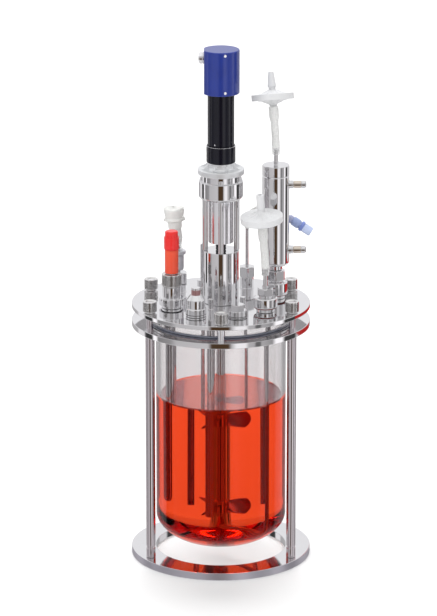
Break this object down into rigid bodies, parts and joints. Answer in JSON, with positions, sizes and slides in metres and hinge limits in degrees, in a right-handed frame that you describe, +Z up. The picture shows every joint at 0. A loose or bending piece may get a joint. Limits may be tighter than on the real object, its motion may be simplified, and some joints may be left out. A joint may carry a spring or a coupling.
{
  "type": "bench bioreactor",
  "caption": "Glass stirred-tank vessel in a three-post steel stand, with a ported head plate, agitator drive, pH sensor, gas line, condenser and sample line.",
  "frame": {"origin": "on the bench under the vessel's axis, at the base ring's centre", "axes": "+Z up along the vessel's axis, front towards -Y, +X to the right seen from the front"},
  "size_m": [0.22, 0.217, 0.628],
  "materials": {
    "polished_steel": "mirror-polished stainless steel",
    "knurled_steel": "machined and knurled stainless steel",
    "vessel_glass": "clear borosilicate glass",
    "medium": "clear orange-red liquid",
    "seal_rubber": "matte moulded rubber",
    "cast_aluminium": "satin cast",
    "black_metal": "glossy black enamel",
    "blue_coat": "semi-gloss blue coat",
    "orange_plastic": "smooth moulded plastic",
    "red_plastic": "smooth moulded plastic",
    "clear_silicone": "translucent silicone",
    "milky_plastic": "translucent milky polypropylene",
    "connector_plastic": "translucent blue plastic"
  },
  "bodies": {
    "root": {"base_ring": "polished_steel", "clamp_ring": "polished_steel", "head_plate": "polished_steel", "post_left": "polished_steel", "post_right": "polished_steel", "post_rear": "polished_steel", "stud_front": "polished_steel", "stud_rear_left": "polished_steel", "stud_rear_right": "polished_steel", "bearing_housing": "polished_steel", "drive_collar": "polished_steel", "tie_rod_front": "polished_steel", "tie_rod_right": "polished_steel", "tie_rod_rear": "polished_steel", "tie_rod_left": "polished_steel", "sensor_adapter": "polished_steel", "septum_port": "polished_steel", "blank_plug": "polished_steel", "sparger_adapter": "polished_steel", "sparger_pipe": "polished_steel", "sample_pipe": "polished_steel", "dip_tube": "polished_steel", "vent_stem": "polished_steel", "condenser_adapter": "polished_steel", "condenser": "polished_steel", "shaft_bearing": "knurled_steel", "cap_connector": "knurled_steel", "glass_vessel": "vessel_glass", "culture_medium": "medium", "flange_gasket": "seal_rubber", "head_seal": "seal_rubber", "motor_flange": "cast_aluminium", "motor_gearbox": "black_metal", "motor_barrel": "black_metal", "motor_cap": "blue_coat", "ph_sensor": "orange_plastic", "sensor_cap": "red_plastic", "inlet_hose": "clear_silicone", "exhaust_hose": "clear_silicone", "vent_hose": "clear_silicone", "sample_hose": "clear_silicone", "inlet_filter": "milky_plastic", "exhaust_filter": "milky_plastic", "vent_cap": "milky_plastic", "sample_connector": "connector_plastic"},
    "agitator": {"drive_shaft": "polished_steel", "impeller_upper": "polished_steel", "impeller_lower": "polished_steel", "drive_coupling": "seal_rubber", "drive_sleeve": "polished_steel"},
    "head_nut_front": {"head_nut_front": "knurled_steel"},
    "head_nut_front_right": {"head_nut_front_right": "knurled_steel"},
    "head_nut_rear_right": {"head_nut_rear_right": "knurled_steel"},
    "head_nut_rear": {"head_nut_rear": "knurled_steel"},
    "head_nut_rear_left": {"head_nut_rear_left": "knurled_steel"},
    "head_nut_front_left": {"head_nut_front_left": "knurled_steel"},
    "sensor_nut": {"sensor_nut": "knurled_steel"},
    "sparger_nut": {"sparger_nut": "polished_steel"},
    "sample_nut": {"sample_nut": "polished_steel"},
    "vent_nut": {"vent_nut": "polished_steel"}
  },
  "joints": [
    {"name": "agitator_spin", "type": "hinge", "parent": "root", "child": "agitator", "pos_m": [0, 0, 0.35], "axis": [0, 0, 1], "continuous": true},
    {"name": "head_nut_front_turn", "type": "hinge", "parent": "root", "child": "head_nut_front", "pos_m": [0, -0.0978, 0.322], "axis": [0, 0, 1], "continuous": true},
    {"name": "head_nut_front_right_turn", "type": "hinge", "parent": "root", "child": "head_nut_front_right", "pos_m": [0.0847, -0.0489, 0.322], "axis": [0, 0, 1], "continuous": true},
    {"name": "head_nut_rear_right_turn", "type": "hinge", "parent": "root", "child": "head_nut_rear_right", "pos_m": [0.0847, 0.0489, 0.322], "axis": [0, 0, 1], "continuous": true},
    {"name": "head_nut_rear_turn", "type": "hinge", "parent": "root", "child": "head_nut_rear", "pos_m": [0, 0.0978, 0.322], "axis": [0, 0, 1], "continuous": true},
    {"name": "head_nut_rear_left_turn", "type": "hinge", "parent": "root", "child": "head_nut_rear_left", "pos_m": [-0.0847, 0.0489, 0.322], "axis": [0, 0, 1], "continuous": true},
    {"name": "head_nut_front_left_turn", "type": "hinge", "parent": "root", "child": "head_nut_front_left", "pos_m": [-0.0847, -0.0489, 0.322], "axis": [0, 0, 1], "continuous": true},
    {"name": "sensor_nut_turn", "type": "hinge", "parent": "root", "child": "sensor_nut", "pos_m": [-0.05888, -0.02403, 0.34], "axis": [0, 0, 1], "continuous": true},
    {"name": "sparger_nut_turn", "type": "hinge", "parent": "root", "child": "sparger_nut", "pos_m": [0.05291, -0.04239, 0.34], "axis": [0, 0, 1], "continuous": true},
    {"name": "sample_nut_turn", "type": "hinge", "parent": "root", "child": "sample_nut", "pos_m": [0.03173, 0.05992, 0.34], "axis": [0, 0, 1], "continuous": true},
    {"name": "vent_nut_turn", "type": "hinge", "parent": "root", "child": "vent_nut", "pos_m": [-0.05201, 0.04349, 0.34], "axis": [0, 0, 1], "continuous": true}
  ]
}
